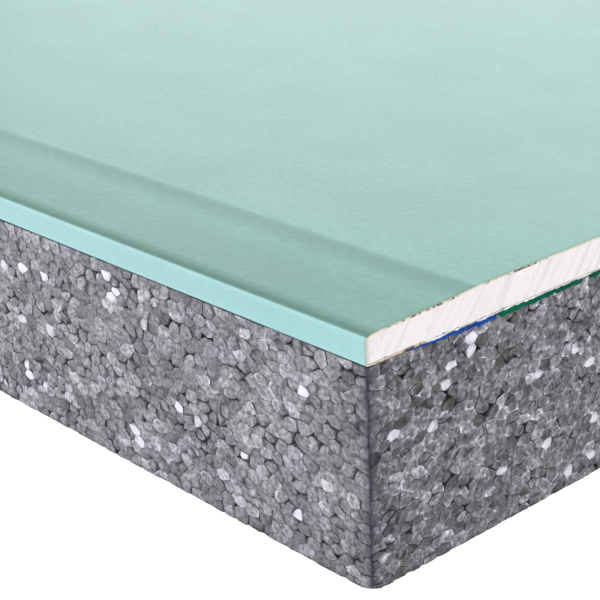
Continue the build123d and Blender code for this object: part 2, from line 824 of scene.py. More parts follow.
@dataclass
class FaceLiner:
    """Green liner, wrapped round the long edges and lapped under the back."""

    section: EdgeSection
    half_length: float
    fray: float = 0.45 * MM
    fray_salt: float = 1.0
    end_run: float = 1.5 * MM
    # Painted shade by distance in from the long edge: darkest at the arris and below the knee of the taper
    painted_taper_shade: Stops = (
        (0.0, 0.73), (1.5 * MM, 0.45), (4 * MM, 0.67), (7 * MM, 0.80), (22 * MM, 0.81),
        (36 * MM, 0.875), (46 * MM, 0.695), (48.3 * MM, 0.735), (51 * MM, 0.975), (56 * MM, 0.96),
    )
    # Painted shading of the upright edge by height above the lap: darker between the bends, so that the
    # bends look lit
    painted_edge_shading: Stops = ((0.0, 1.0), (0.6 * MM, 1.0), (2 * MM, 0.95), (7.5 * MM, 0.92), (8.6 * MM, 1.0))

    def rows(self, line: np.ndarray) -> np.ndarray:
        """Lay a section line at four stations along the sheet, ragged at both ends.

        Args:
            line: The section line, one (y, z) point a row.

        Returns:
            The points, station by station.
        """
        fray = ragged(line, self.fray, self.fray_salt)
        inside = np.full(len(line), self.half_length - self.end_run)
        stations = (fray - self.half_length, -inside, inside, self.half_length - fray)
        return np.concatenate([np.column_stack([x, line]) for x in stations])

    def columns(self) -> np.ndarray:
        """Give the material slots across the section, face or turned edge.

        Returns:
            A slot's number for each step.
        """
        half = len(self.section.outline())
        step = np.arange(2 * half - 2)
        out = np.where(step >= half - 1, step - half + 1, half - 2 - step)
        edge_start = len(self.section.face_line()) - 1
        return np.where(out >= edge_start, LinerSlot.EDGE.value, LinerSlot.FACE.value)

    def build(self) -> bpy.types.Object:
        """Build the liner's mesh and dress it.

        Returns:
            The liner as a piece.
        """
        outer = mirrored(self.section.outline())
        inner = mirrored(self.section.inner())
        width = len(outer)
        outside = self.rows(outer)
        last = len(outside) // width - 1
        quads = strip_quads(width, last + 1)
        slots = np.tile(self.columns(), last)
        shell = Shell()
        shell.add(outside, quads[:, ::-1], slots)
        gap = shell.add(self.rows(inner), quads, slots)
        step = np.arange(width - 1)
        for row in (0, last):
            cut = np.column_stack([step, step + gap, step + 1 + gap, step + 1]) + width * row
            shell.join(cut[:, ::-1] if row == 0 else cut, LinerSlot.CUT.value)
        for column in (0, width - 1):
            rows = np.arange(last) * width + column
            lap_end = np.column_stack([rows, rows + width, rows + width + gap, rows + gap])
            shell.join(lap_end[:, ::-1] if column == 0 else lap_end)
        place = (self.section.half_width, self.section.lap_level)
        face = LinerFinish("green_liner", *place, painted_taper_shade=self.painted_taper_shade)
        kraft = KraftFinish("kraft_edge", srgb(240, 218, 192), srgb(108, 78, 50))
        # Painted light: the upright edge gets a lighter, bluer copy of the face paper's colour, standing in
        # for the light it catches
        turned = LinerFinish("green_edge_liner", *place, painted_edge_shading=self.painted_edge_shading,
                             base=srgb(162, 209, 210), shade=srgb(155, 203, 203))
        materials = [finish.material() for finish in (face, kraft, turned)]
        return place_piece(shell.to_object("face_liner", *materials), "face_paper")


@dataclass
class BackLiner:
    """Thin brown liner between the plaster and the foam, ragged at the cut ends."""

    low: Vector
    high: Vector
    pitch: float = 1.0 * MM
    fray: float = 0.4 * MM
    fray_salt: float = 4.0

    def build(self) -> bpy.types.Object:
        """Build the liner's mesh and dress it.

        Returns:
            The liner as a piece.
        """
        across = np.linspace(self.low.y, self.high.y, int((self.high.y - self.low.y) / self.pitch))
        width = len(across)
        fray = ragged(np.column_stack([across, np.zeros(width)]), self.fray, self.fray_salt)
        shell = Shell()
        for level in (self.low.z, self.high.z):
            for x in (self.low.x + fray, self.high.x - fray):
                shell.add(np.column_stack([x, across, np.full(width, level)]), NO_FACES)
        step = np.arange(width - 1)
        # Rows 0 and 1 are the underside's far and near ends, and 2 and 3 the top's
        for first, second in ((0, 1), (3, 2), (2, 0), (1, 3)):
            a, b = first * width, second * width
            shell.join(np.column_stack([step + a, step + 1 + a, step + 1 + b, step + b]), soft=False)
        for column in (0, width - 1):
            corners = [row * width + column for row in (0, 1, 3, 2)]
            shell.join([corners if column == 0 else corners[::-1]], soft=False)
        kraft = KraftFinish("brown_liner", srgb(168, 150, 136), srgb(86, 70, 58))
        return place_piece(shell.to_object("back_liner", kraft.material()), "back_paper")


@dataclass
class PlasterCore:
    """Plaster between the liners, with sawn faces at both ends of the sheet."""

    section: EdgeSection
    half_length: float
    back_level: float
    pitch: float = 1.1 * MM
    layers: int = 11
    recess: float = 0.25 * MM
    stroke_depth: float = 0.1 * MM
    strokes_per_mm: Range = (0.35, 0.04)
    pit_depth: float = 0.7 * MM
    pits_per_mm: float = 0.8
    pit_start: float = 0.45
    pit_slope: float = 0.2
    pit_salt: float = 9.0
    end_salt: float = 20.0
    face_stain: float = 0.35 * MM
    back_stain: float = 0.3 * MM

    def columns(self) -> tuple[np.ndarray, np.ndarray, np.ndarray]:
        """Give the places across the end with the plaster's lower and upper level at each.

        Returns:
            The places, the lower levels and the upper levels.
        """
        reach = self.section.half_width - self.section.paper
        across = np.linspace(-reach, reach, int(2 * reach / self.pitch))
        face = self.section.face_line()
        top = np.interp(np.abs(across), face[:, 0], face[:, 1]) - self.section.paper
        on_lap = np.abs(across) > self.section.half_width - self.section.lap_width
        bottom = np.where(on_lap, self.section.lap_level + self.section.paper, self.back_level)
        return across, bottom, top

    def depth(self, y: np.ndarray, z: np.ndarray, salt: float) -> np.ndarray:
        """Give how far the sawn face lies inside the sheet's end.

        Args:
            y: Places across the sheet.
            z: Levels of those places.
            salt: Sets one end apart from the other.

        Returns:
            The depth at each place.
        """
        lean, rise = math.sin(SAW_SLANT), math.cos(SAW_SLANT)
        across = (y * rise - z * lean) / MM
        along = (y * lean + z * rise) / MM
        thick, drawn = self.strokes_per_mm
        strokes = [noise.noise((a * thick, b * drawn, salt)) for a, b in zip(across, along)]
        spots = np.column_stack([y, z]) / MM * self.pits_per_mm
        pits = [noise.noise((a, b, salt + self.pit_salt)) for a, b in spots]
        sunk = np.clip((np.array(pits) - self.pit_start) / self.pit_slope, 0, 1)
        return self.recess + self.stroke_depth * np.array(strokes) + self.pit_depth * sunk

    def build(self) -> bpy.types.Object:
        """Build the core's mesh and dress it.

        Returns:
            The core as a piece.
        """
        across, bottom, top = self.columns()
        share = np.linspace(0, 1, self.layers + 1)[:, None]
        clean = bottom + self.back_stain + (top - bottom - self.back_stain - self.face_stain) * share
        level = np.vstack([bottom, clean, top])
        y = np.broadcast_to(across, level.shape).ravel()
        z = level.ravel()
        quads = strip_quads(len(across), len(level))
        layer = np.repeat(np.arange(len(level) - 1), len(across) - 1)
        beside_liner = {PlasterSlot.OVER_BACK: layer == 0, PlasterSlot.UNDER_FACE: layer == layer[-1]}
        stained = [slot.value for slot in beside_liner]
        slots = np.select(list(beside_liner.values()), stained, PlasterSlot.CLEAN.value)
        shell = Shell()
        for end in End:
            x = end.value * (self.half_length - self.depth(y, z, self.end_salt * end.value))
            shell.add(np.column_stack([x, y, z]), quads if end is End.NEAR else quads[:, ::-1], slots)
        index = np.arange(level.size).reshape(level.shape)
        rim = np.concatenate([index[0], index[1:, -1], index[-1, -2::-1], index[-2:0:-1, 0]])
        ahead = np.roll(rim, -1)
        shell.join(np.column_stack([rim, rim + level.size, ahead + level.size, ahead]))
        under_face = KraftFinish("fibres_under_face", srgb(244, 230, 212), srgb(150, 114, 82))
        over_back = KraftFinish("fibres_over_back", srgb(196, 184, 176), srgb(110, 94, 84))
        finishes = (PlasterFinish(), under_face, over_back)
        piece = shell.to_object("plaster_core", *(finish.material() for finish in finishes))
        return place_piece(piece, "gypsum_core")


@dataclass
class BeadPattern:
    """Fused beads on one flat side: their middles, and their corners in order round each bead."""

    middle: np.ndarray
    junctions: np.ndarray
    bead: np.ndarray
    junction: np.ndarray
    ahead: np.ndarray
    behind: np.ndarray

    def stretched(self, aspect: float) -> "BeadPattern":
        """Give the same beads, drawn out along the side."""
        wide = np.array([aspect, 1.0])
        return replace(self, middle=self.middle * wide, junctions=self.junctions * wide)


@dataclass
class BeadPacker:
    """Packs a flat side full of beads that press against each other."""

    length: float
    height: float
    pitch: float
    rng: np.random.Generator
    scatter: float = 0.36
    small_share: float = 0.05
    settlings: int = 2
    margin_share: float = 0.18
    mirror_beads: int = 3
    merge_digits: int = 3

    def seeds(self) -> np.ndarray:
        """Scatter the beads' middles over the side in a loose honeycomb.

        Returns:
            The middles as (along, up).
        """
        row_step = self.pitch * math.sqrt(3) / 2
        rows = max(1, round(self.height / row_step))
        columns = round(self.length / self.pitch)
        u, v = np.meshgrid(np.arange(columns), np.arange(rows))
        u = (u + 0.25 + 0.5 * (v % 2)) * self.length / columns
        v = (v + 0.5) * self.height / rows
        spots = np.column_stack([u.ravel(), v.ravel()])
        return self.held(spots + self.rng.normal(0, self.scatter * self.pitch, spots.shape))

    def held(self, spots: np.ndarray) -> np.ndarray:
        """Keep places a little inside the side's border."""
        margin = self.margin_share * self.pitch
        return np.clip(spots, margin, np.array([self.length, self.height]) - margin)

    def pack(self) -> BeadPattern:
        """Pack the beads, set small ones between them and even them out.

        Returns:
            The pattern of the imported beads.
        """
        loose = self.pattern(self.seeds())
        chosen = self.rng.random(len(loose.junctions)) < self.small_share
        small = self.held(loose.junctions[chosen])
        packed = self.pattern(np.concatenate([self.held(loose.middle), small]))
        for _ in range(self.settlings):
            packed = self.pattern(self.held(packed.middle))
        return packed

    def pattern(self, seeds: np.ndarray) -> BeadPattern:
        """Find the polygon of every bead.

        Args:
            seeds: The beads' middles.

        Returns:
            The pattern of the polygons.
        """
        size = np.array([self.length, self.height])
        ring = seeds
        for axis in (0, 1):
            for wall in (0.0, size[axis]):
                near = ring[np.abs(ring[:, axis] - wall) < self.mirror_beads * self.pitch].copy()
                near[:, axis] = 2 * wall - near[:, axis]
                ring = np.concatenate([ring, near])
        joined = delaunay_2d_cdt([Vector(p) for p in ring / self.pitch], [], [], 0, TINY, True)
        spots = np.array([tuple(p) for p in joined[0]]) * self.pitch
        origin = np.array([ids[0] if ids else -1 for ids in joined[3]])
        triangles = np.array([tuple(t) for t in joined[2]])
        bead = origin[triangles].ravel()
        keep = (bead >= 0) & (bead < len(seeds))
        bead = bead[keep]
        owner = np.repeat(np.arange(len(triangles)), 3)[keep]
        used, owner = np.unique(owner, return_inverse=True)
        centres = np.round(self.centres(spots, triangles[used]) / MM, self.merge_digits)
        merged, where = np.unique(centres, axis=0, return_inverse=True)
        junction = where.ravel()[owner]
        return self.ordered(np.clip(merged * MM, 0, size), bead, junction, seeds)

    def centres(self, spots: np.ndarray, triangles: np.ndarray) -> np.ndarray:
        """Give the middles of the circles through three places each.

        Args:
            spots: The places.
            triangles: Three numbers of places for each circle.

        Returns:
            The middle of each circle.
        """
        a, b, c = (spots[triangles[:, k]] for k in range(3))
        p, q = b - a, c - a
        area = 2 * (p[:, 0] * q[:, 1] - p[:, 1] * q[:, 0])
        pp, qq = (p ** 2).sum(1), (q ** 2).sum(1)
        shift = np.column_stack([q[:, 1] * pp - p[:, 1] * qq, p[:, 0] * qq - q[:, 0] * pp])
        return a + shift / area[:, None]

    def ordered(self, junctions: np.ndarray, bead: np.ndarray, junction: np.ndarray,
                seeds: np.ndarray) -> BeadPattern:
        """Put the corners of every bead in order round it.

        Args:
            junctions: Places where beads meet.
            bead: The bead of each corner.
            junction: The junction of each corner.
            seeds: A place inside each bead.

        Returns:
            The pattern with its corners in order.
        """
        away = junctions[junction] - seeds[bead]
        order = np.lexsort((np.arctan2(away[:, 1], away[:, 0]), bead))
        bead, junction = bead[order], junction[order]
        repeated = (junction == np.roll(junction, 1)) & (bead == np.roll(bead, 1))
        bead, junction = bead[~repeated], junction[~repeated]
        sizes = np.bincount(bead, minlength=len(seeds))
        last = np.cumsum(sizes) - 1
        first = last - sizes + 1
        ahead = np.arange(len(bead)) + 1
        ahead[last] = first
        behind = np.arange(len(bead)) - 1
        behind[first] = last
        middle = np.column_stack([np.bincount(bead, junctions[junction, k]) / sizes for k in range(2)])
        return BeadPattern(middle, junctions, bead, junction, ahead, behind)


@dataclass
class BeadRelief:
    """The cut face of one side while it lies flat: its points, their depth and paint, and triangles."""

    flat: np.ndarray
    depth: np.ndarray
    paint: np.ndarray
    faces: np.ndarray
    owner: np.ndarray
    soft: np.ndarray


@dataclass
class BeadSide:
    """One upright side of the foam board, cut through its fused beads."""

    side: Side
    low: Vector
    high: Vector
    rng: np.random.Generator
    cut: Cut
    bake_rows: int
    hole_stretch: float = 0.12
    hole_depth: float = 2.4 * MM
    hole_depth_range: Range = (0.5, 1.0)
    hole_gap_range: Range = (0.1 * MM, 0.7 * MM)
    hole_notch: float = 0.12
    # Near-black painted shade in the holes
    hole_shade_tone: float = 0.01
    groove_range: Range = (0.5, 1.6)
    groove_depth_range: Range = (0.5, 1.3)
    notch_range: Range = (0.14, 0.30)
    widest_gap: float = 0.5
    corner_gap: float = 0.5 * MM
    corner_gap_range: Range = (0.5, 1.5)
    sink: float = 0.05 * MM
    sink_spread: float = 0.16 * MM
    dish: float = 0.05 * MM
    dish_spread: float = 0.18 * MM
    tilt_spread: float = 0.06
    rim_depth_range: Range = (0.03 * MM, 1.2 * MM)
    border_ground: float = 0.04
    border_depth_range: Range = (0.3, 1.2)
    ground_spread: float = 0.45
    fleck_tone: float = 0.7
    cloud: float = 0.22
    cloud_size: float = 26 * MM
    white_inset: float = 4.0 * MM
    white_tone_range: Range = (0.66, 0.86)
    small_share: float = 0.4
    # Painted highlight crescents on the bead rims
    highlight_crescent_start: float = 0.35
    highlight_crescent_slope: float = 0.4
    highlight_crescent_gain: float = 2.2
    highlight_crescent_limit: float = 0.7
    curl_share: float = 0.03
    curl_tone: float = 0.8
    edge_round: float = 0.5 * MM
    worn_round: float = 6.0 * MM
    worn_height: float = 8.0 * MM
    tip_lift: float = 0.4 * MM
    ragged_foot: float = 0.4 * MM
    bake_spare: float = 1.5
    bake_margin: float = 0.02

    @property
    def length(self) -> float:
        """Length of the side along the floor."""
        run = self.side.value[1]
        return (self.high.x - self.low.x) * abs(run[0]) + (self.high.y - self.low.y) * abs(run[1])

    @property
    def height(self) -> float:
        """Height of the side."""
        return self.high.z - self.low.z

    def build(self, finish: bpy.types.Material) -> list[bpy.types.Object]:
        """Build the side's two bands, bead by bead, and dress them.

        Args:
            finish: The cut foam's material.

        Returns:
            The two bands as pieces.
        """
        style = self.cut.value
        packer = BeadPacker(self.length / style.aspect, self.height, style.pitch, self.rng)
        pattern = packer.pack().stretched(style.aspect)
        relief = self.relief(pattern)
        return [self.band(relief, pattern.middle[relief.owner], band, finish) for band in Band]

    def holes(self, pattern: BeadPattern) -> np.ndarray:
        """Choose the junctions where beads leave a hole, some stretched along a groove.

        Args:
            pattern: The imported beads.

        Returns:
            Whether each junction is a hole.
        """
        hole = self.rng.random(len(pattern.junctions)) < self.cut.value.hole_share
        stretched = self.rng.random(len(pattern.bead)) < self.hole_stretch
        stretched &= hole[pattern.junction]
        hole[pattern.junction[pattern.ahead[stretched]]] = True
        return hole

    def relief(self, pattern: BeadPattern) -> BeadRelief:
        """Shape the cut face: caps with rounded corners, and grooves and holes between them.

        Args:
            pattern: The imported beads.

        Returns:
            The cut face, lying flat.
        """
        rng, bead, junction, style = self.rng, pattern.bead, pattern.junction, self.cut.value
        count, corners = len(pattern.middle), len(bead)
        hole = self.holes(pattern)
        border = self.border(pattern)
        away = pattern.junctions[junction] - pattern.middle[bead]
        reach = np.maximum(np.linalg.norm(away, axis=1), TINY)
        gap = style.groove * rng.uniform(*self.groove_range, corners)
        gap += hole[junction] * rng.uniform(*self.hole_gap_range, corners)
        to_corner = self.to_corner(pattern.junctions)
        at_corner = to_corner < TINY
        gap += at_corner[junction] * rng.uniform(*self.corner_gap_range, corners) * self.corner_gap
        inset = pattern.middle[bead] + away * (1 - np.minimum(gap / reach, self.widest_gap))[:, None]
        cut = (rng.uniform(*self.notch_range, corners) + self.hole_notch * hole[junction])[:, None]
        first = inset + (inset[pattern.behind] - inset) * cut
        second = inset + (inset[pattern.ahead] - inset) * cut
        inward = np.sign(self.height / 2 - pattern.junctions[:, 1])
        ragged_edge = np.where(inward < 0, style.ragged_top, self.ragged_foot)
        lift = border * inward * ragged_edge * rng.uniform(0, 1, len(hole))
        lift *= np.clip(to_corner / self.worn_height, 0, 1)
        floor = pattern.junctions + np.column_stack([np.zeros(len(hole)), lift])
        flat = np.concatenate([pattern.middle, first, second, floor])
        both = np.concatenate([bead, bead])
        sink = np.abs(rng.normal(0, self.sink_spread, count)) + self.sink
        dish = rng.normal(self.dish, self.dish_spread, count)
        tilt = rng.normal(0, self.tilt_spread, (count, 2))
        lean = ((np.concatenate([first, second]) - pattern.middle[both]) * tilt[both]).sum(1)
        rim_depth = np.clip((sink - np.minimum(dish, 0))[both] + lean, *self.rim_depth_range)
        ground = np.where(hole, self.hole_depth * rng.uniform(*self.hole_depth_range, len(hole)),
                          style.groove_depth * rng.uniform(*self.groove_depth_range, len(hole)))
        ground = np.where(border, self.edge_round * rng.uniform(*self.border_depth_range, len(hole)), ground)
        ground = np.where(at_corner, 0.0, ground)
        depth = np.concatenate([sink + np.maximum(dish, 0), rim_depth, ground])
        return BeadRelief(flat, depth, self.paint(pattern, hole, flat), *self.triangles(pattern))

    def border(self, pattern: BeadPattern) -> np.ndarray:
        """Tell which junctions lie on the side's border."""
        size = np.array([self.length, self.height])
        return ((pattern.junctions < TINY) | (pattern.junctions > size - TINY)).any(1)

    def to_corner(self, spots: np.ndarray) -> np.ndarray:
        """Give how far places on the side lie from its nearer upright corner."""
        return np.clip(np.minimum(spots[:, 0], self.length - spots[:, 0]), 0, None)

    def triangles(self, pattern: BeadPattern) -> tuple[np.ndarray, np.ndarray, np.ndarray]:
        """Join the points of the cut face to caps, notches and grooves.

        Args:
            pattern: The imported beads.

        Returns:
            The triangles, the bead of each, and which are smooth.
        """
        count, corners = len(pattern.middle), len(pattern.bead)
        first = count + np.arange(corners)
        second = first + corners
        floor = count + 2 * corners + pattern.junction
        after, floor_after = first[pattern.ahead], floor[pattern.ahead]
        caps = [(pattern.bead, first, second), (pattern.bead, second, after)]
        grooves = [(first, floor, second), (second, floor, floor_after), (second, floor_after, after)]
        faces = np.concatenate([np.column_stack(part) for part in caps + grooves])
        soft = np.repeat([True] * len(caps) + [False] * len(grooves), corners)
        return faces, np.tile(pattern.bead, len(caps) + len(grooves)), soft

    def paint(self, pattern: BeadPattern, hole: np.ndarray, flat: np.ndarray) -> np.ndarray:
        """Give every point its tone, rim tone, place in its bead and dish in mm.

        Args:
            pattern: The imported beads.
            hole: Which junctions are holes.
            flat: The points' places on the side.

        Returns:
            Four numbers for each point.
        """
        rng, count, style = self.rng, len(pattern.middle), self.cut.value
        both = np.concatenate([pattern.bead, pattern.bead])
        salt = list(Side).index(self.side)
        cloud = np.array([noise.noise((u, v, salt)) for u, v in pattern.middle / self.cloud_size])
        tone = style.grey * np.exp(rng.normal(0, style.grey_spread, count) + self.cloud * cloud)
        white = rng.random(count) < style.white_share / self.small_share
        white &= self.small(pattern) & (self.to_corner(pattern.middle) > self.white_inset)
        tone = np.where(white, rng.uniform(*self.white_tone_range, count), tone)
        away = flat[count:count + len(both)] - pattern.middle[both]
        # Painted highlights: on some beads a bright crescent on one side of the rim, near white on the
        # curled ones
        angle = np.arctan2(away[:, 1], away[:, 0])
        facing = np.cos(angle - rng.uniform(-math.pi, math.pi, count)[both])
        lit = np.clip((facing - self.highlight_crescent_start) / self.highlight_crescent_slope, 0, 1)
        lit *= (rng.random(count) < style.highlight_crescent_share)[both]
        curl = (rng.random(count) < self.curl_share)[both]
        glint = np.minimum(self.highlight_crescent_gain * tone[both], self.highlight_crescent_limit)
        bright = np.where(curl, self.curl_tone, glint)
        rim = tone[both] * rng.uniform(*style.rim_range, len(both))
        rim = np.where(white[both], tone[both], rim + (bright - rim) * lit)
        # Groove floors are painted dark as shade and holes near black as shade; some grooves and a few
        # flecks are pale, and the border is dark
        fleck = rng.random(len(hole)) < style.fleck_share
        pale = rng.random(len(hole)) < style.pale_share
        ground = np.where(pale, style.pale_ground, style.ground)
        ground *= np.exp(rng.normal(0, self.ground_spread, len(hole)))
        ground = np.where(hole, self.hole_shade_tone, np.where(fleck, self.fleck_tone, ground))
        ground = np.where(self.border(pattern), self.border_ground, ground)
        bowl = rng.normal(style.dish, style.dish_spread, count)
        columns = (
            (tone, tone[both], ground),
            (tone, rim, ground),
            (np.zeros(count), np.ones(len(both)), np.ones(len(hole))),
            (bowl, bowl[both], np.zeros(len(hole))),
        )
        return np.column_stack([np.concatenate(parts) for parts in columns])

    def small(self, pattern: BeadPattern) -> np.ndarray:
        """Tell which beads are among the smaller ones.

        Args:
            pattern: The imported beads.

        Returns:
            Whether each bead is small.
        """
        away = pattern.junctions[pattern.junction] - pattern.middle[pattern.bead]
        reach = np.bincount(pattern.bead, np.linalg.norm(away, axis=1)) / np.bincount(pattern.bead)
        return reach < np.quantile(reach, self.small_share)

    def to_world(self, flat: np.ndarray, depth: np.ndarray) -> np.ndarray:
        """Stand the flat side up on the board and wear its corners.

        Args:
            flat: Places on the side as (along, up).
            depth: How far each place lies inside the board's box.

        Returns:
            Places in the sheet's frame.
        """
        start, run, out = (np.array(part, float) for part in self.side.value)
        half = np.array([self.high.x - self.low.x, self.high.y - self.low.y]) / 2
        ground = start * half + flat[:, :1] * run - depth[:, None] * out
        worn = np.clip(1 - flat[:, 1] / self.worn_height, 0, 1) ** 2
        radius = self.edge_round + (self.worn_round - self.edge_round) * worn
        reach = half - radius[:, None]
        inner = np.clip(ground, -reach, reach)
        away = ground - inner
        far = np.maximum(np.linalg.norm(away, axis=1), TINY)
        plan = inner + away * np.minimum(radius / far, 1.0)[:, None]
        near_tip = np.clip(1 - self.to_corner(flat) / self.worn_round, 0, 1) ** 2
        return np.column_stack([plan, self.low.z + flat[:, 1] + self.tip_lift * near_tip * worn])

    def band(self, relief: BeadRelief, owner: np.ndarray, band: Band,
             finish: bpy.types.Material) -> bpy.types.Object:
        """Make one half of the side as a piece.

        Args:
            relief: The cut face.
            owner: For each triangle, the middle of its bead.
            band: Which half is made.
            finish: The cut foam's material.

        Returns:
            The piece.
        """
        low, high = (share * self.height for share in band.value)
        chosen = (owner[:, 1] >= low) & (owner[:, 1] < high)
        used, faces = np.unique(relief.faces[chosen], return_inverse=True)
        flat = relief.flat[used]
        shell = Shell()
        shell.add(self.to_world(flat, relief.depth[used]), faces.reshape(-1, 3), 0, relief.soft[chosen])
        name = f"foam_{self.side.name}_{band.name}".lower()
        piece = shell.to_object(name, finish)
        layer = piece.data.color_attributes.new(BEAD_PAINT, "FLOAT_COLOR", "POINT")
        layer.data.foreach_set("color", relief.paint[used].ravel())
        self.unfold(piece, flat, faces.ravel(), owner[chosen, 0])
        return place_piece(piece, "insulation_board")

    def unfold(self, piece: bpy.types.Object, flat: np.ndarray, corners: np.ndarray,
               owner: np.ndarray) -> None:
        """Lay the band out for baking as rows, one above the other.

        Args:
            piece: The band's piece.
            flat: Places of its points as (along, up).
            corners: The points of its triangles, three for each.
            owner: For each triangle, how far along the side its bead lies.
        """
        row_length = self.length / self.bake_rows
        row = np.repeat(np.minimum(owner // row_length, self.bake_rows - 1), 3)
        spare = self.bake_spare * self.cut.value.pitch * self.cut.value.aspect
        low, high = flat[:, 1].min(), flat[:, 1].max()
        u = (flat[corners, 0] - row * row_length + spare) / (row_length + 2 * spare)
        rise = (flat[corners, 1] - low) / (high - low)
        v = (row + self.bake_margin + (1 - 2 * self.bake_margin) * rise) / self.bake_rows
        layer = piece.data.uv_layers.new(name=BAKE_MAP)
        layer.data.foreach_set("uv", np.column_stack([u, v]).ravel())


@dataclass
class FoamBoard:
    """The bead foam board: four cut sides round a moulded block."""

    low: Vector
    high: Vector
    side_depth: float = 3.4 * MM
    corner_cut: float = 9.0 * MM
    rim: float = 1.0 * MM
    foot_rim: float = 4.0 * MM
    rim_height: float = 0.8 * MM
    long_bake_rows: int = 8
    short_bake_rows: int = 5
    seed: int = 11

    def build(self) -> list[bpy.types.Object]:
        """Build the sides and the block.

        Returns:
            All the board's pieces.
        """
        finishes = {cut: BeadFinish(cut, self.high.x, self.high.y).material() for cut in Cut}
        rng = np.random.default_rng(self.seed)
        pieces = [self.block()]
        for side in Side:
            is_long = side in (Side.LEFT, Side.RIGHT)
            cut = Cut.TRIMMED if is_long else Cut.SAWN
            rows = self.long_bake_rows if is_long else self.short_bake_rows
            pieces += BeadSide(side, self.low, self.high, rng, cut, rows).build(finishes[cut])
        return pieces

    def ring(self, level: float, inset: float) -> np.ndarray:
        """Give the block's outline at a level: a rectangle with its corners cut off.

        Args:
            level: The height above the floor.
            inset: How far the outline lies inside the board's box.

        Returns:
            The corners in order.
        """
        x, y, cut = self.high.x - inset, self.high.y - inset, self.corner_cut
        quarter = [(x, y - cut), (x - cut, y)]
        half = quarter + [(-a, b) for a, b in quarter[::-1]]
        return np.array([(a, b, level) for a, b in half + [(-a, -b) for a, b in half]])

    def block(self) -> bpy.types.Object:
        """Build the moulded block that the cut sides stand round.

        Returns:
            The block as a piece.
        """
        shell = Shell()
        levels = (
            (self.low.z, self.foot_rim),
            (self.low.z + self.rim_height, self.rim),
            (self.low.z + 2 * self.rim_height, self.side_depth),
            (self.high.z - self.rim_height, self.side_depth),
            (self.high.z, self.rim),
        )
        for level, inset in levels:
            shell.add(self.ring(level, inset), NO_FACES)
        sides = shell.count // len(levels)
        corner = np.arange(sides)
        after = np.roll(corner, -1)
        for ring in range(len(levels) - 1):
            low, high = ring * sides, (ring + 1) * sides
            shell.join(np.column_stack([low + corner, low + after, high + after, high + corner]), soft=False)
        shell.join([corner[::-1], corner + sides * (len(levels) - 1)], soft=False)
        piece = shell.to_object("foam_block", MouldedFoamFinish().material())
        return place_piece(piece, "insulation_board")


@dataclass
class SeamGlueAndShade:
    """Dark glue in the joint between the foam and the lap, along both long edges, painted as dark as the
    shade in the joint.
    """

    half_length: float
    half_width: float
    low: float
    high: float
    pitch: float = 3.0 * MM
    inset: float = 0.3 * MM
    depth: float = 2.0 * MM
    wave: float = 0.3 * MM
    wave_middle: float = 0.5
    wave_salt: float = 0.5
    waves_per_mm: float = 0.15
    slack: float = 0.02 * MM
    end_inset: float = 0.6 * MM
    # Dark teal-grey: glue, painted as dark as the shade in the joint
    finish: FilmFinish = FilmFinish("seam_glue", srgb(98, 114, 124), srgb(140, 152, 160))

    def build(self) -> list[bpy.types.Object]:
        """Build the strip of glue and painted shade on both sides."""
        material = self.finish.material()
        return [self.strip(side, material) for side in (Side.LEFT, Side.RIGHT)]

    def strip(self, side: Side, material: bpy.types.Material) -> bpy.types.Object:
        """Build the strip of one side.

        Args:
            side: The long side.
            material: The strip's material.

        Returns:
            The strip as a piece.
        """
        out = side.value[2][1]
        reach = self.half_length - self.end_inset
        along = np.linspace(-reach, reach, int(2 * reach / self.pitch)) * -out
        width = len(along)
        waves = [noise.noise((x * self.waves_per_mm / MM, out, self.wave_salt)) for x in along]
        hollow = self.wave * np.clip(self.wave_middle + np.array(waves), 0, 1)
        front = out * (self.half_width - self.inset - hollow)
        back = np.full(width, out * (self.half_width - self.inset - self.depth))
        low, high = self.low + self.slack, self.high - self.slack
        corners = ((front, low), (front, high), (back, high), (back, low))
        shell = Shell()
        shell.tube([np.column_stack([along, y, np.full(width, level)]) for y, level in corners])
        piece = shell.to_object(f"seam_glue_{side.name}".lower(), material)
        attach(piece, "root")
        LOG.info("%s: %d faces", piece.name, len(piece.data.polygons))
        return piece


@dataclass(frozen=True)
class Mark:
    """One stretch of film along the joint: its span, and its (lower, upper) edges at start and end."""

    name: str
    span: Range
    first: Range
    last: Range
    finish: FilmFinish


@dataclass
class EndMarks:
    """Coloured film along the joint between foam and board at the near cut end."""

    corner: Vector
    marks: tuple[Mark, ...]
    pitch: float = 0.5 * MM
    fade: float = 1.5 * MM
    end_share: float = 0.15
    wave: float = 0.55 * MM
    top_wave_share: float = 0.2
    waves_per_mm: float = 0.3
    tucks: tuple[float, ...] = (0.06 * MM, 0.01 * MM, 0.05 * MM, 0.4 * MM, 0.4 * MM)

    def build(self) -> list[bpy.types.Object]:
        """Build each mark as a thin uneven strip."""
        return [self.strip(mark) for mark in self.marks]

    def strip(self, mark: Mark) -> bpy.types.Object:
        """Build one mark.

        Args:
            mark: Its place, edges and finish.

        Returns:
            The mark as a piece.
        """
        start, end = mark.span
        along = np.arange(start, end, self.pitch)
        share = (along - start) / (end - start)
        low, high = (a + (b - a) * share for a, b in zip(mark.first, mark.last))
        spots = [(s * self.waves_per_mm / MM, high[0] / MM, start) for s in along]
        waves = self.wave * np.array([noise.fractal(spot, *UNEVEN) for spot in spots])
        ends = np.clip(np.minimum(along - start, end - along) / self.fade, self.end_share, 1)
        top = high + self.top_wave_share * waves
        bottom = top - (high - low) * ends + waves
        rows = []
        for tuck, level in zip(self.tucks, (bottom, (bottom + top) / 2, top, top, bottom)):
            x = np.full(len(along), self.corner.x - tuck)
            rows.append(np.column_stack([x, self.corner.y + along, self.corner.z + level]))
        shell = Shell()
        shell.tube(rows)
        piece = shell.to_object(mark.name, mark.finish.material())
        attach(piece, "root")
        LOG.info("%s: %.0f mm of film", piece.name, (end - start) / MM)
        return piece


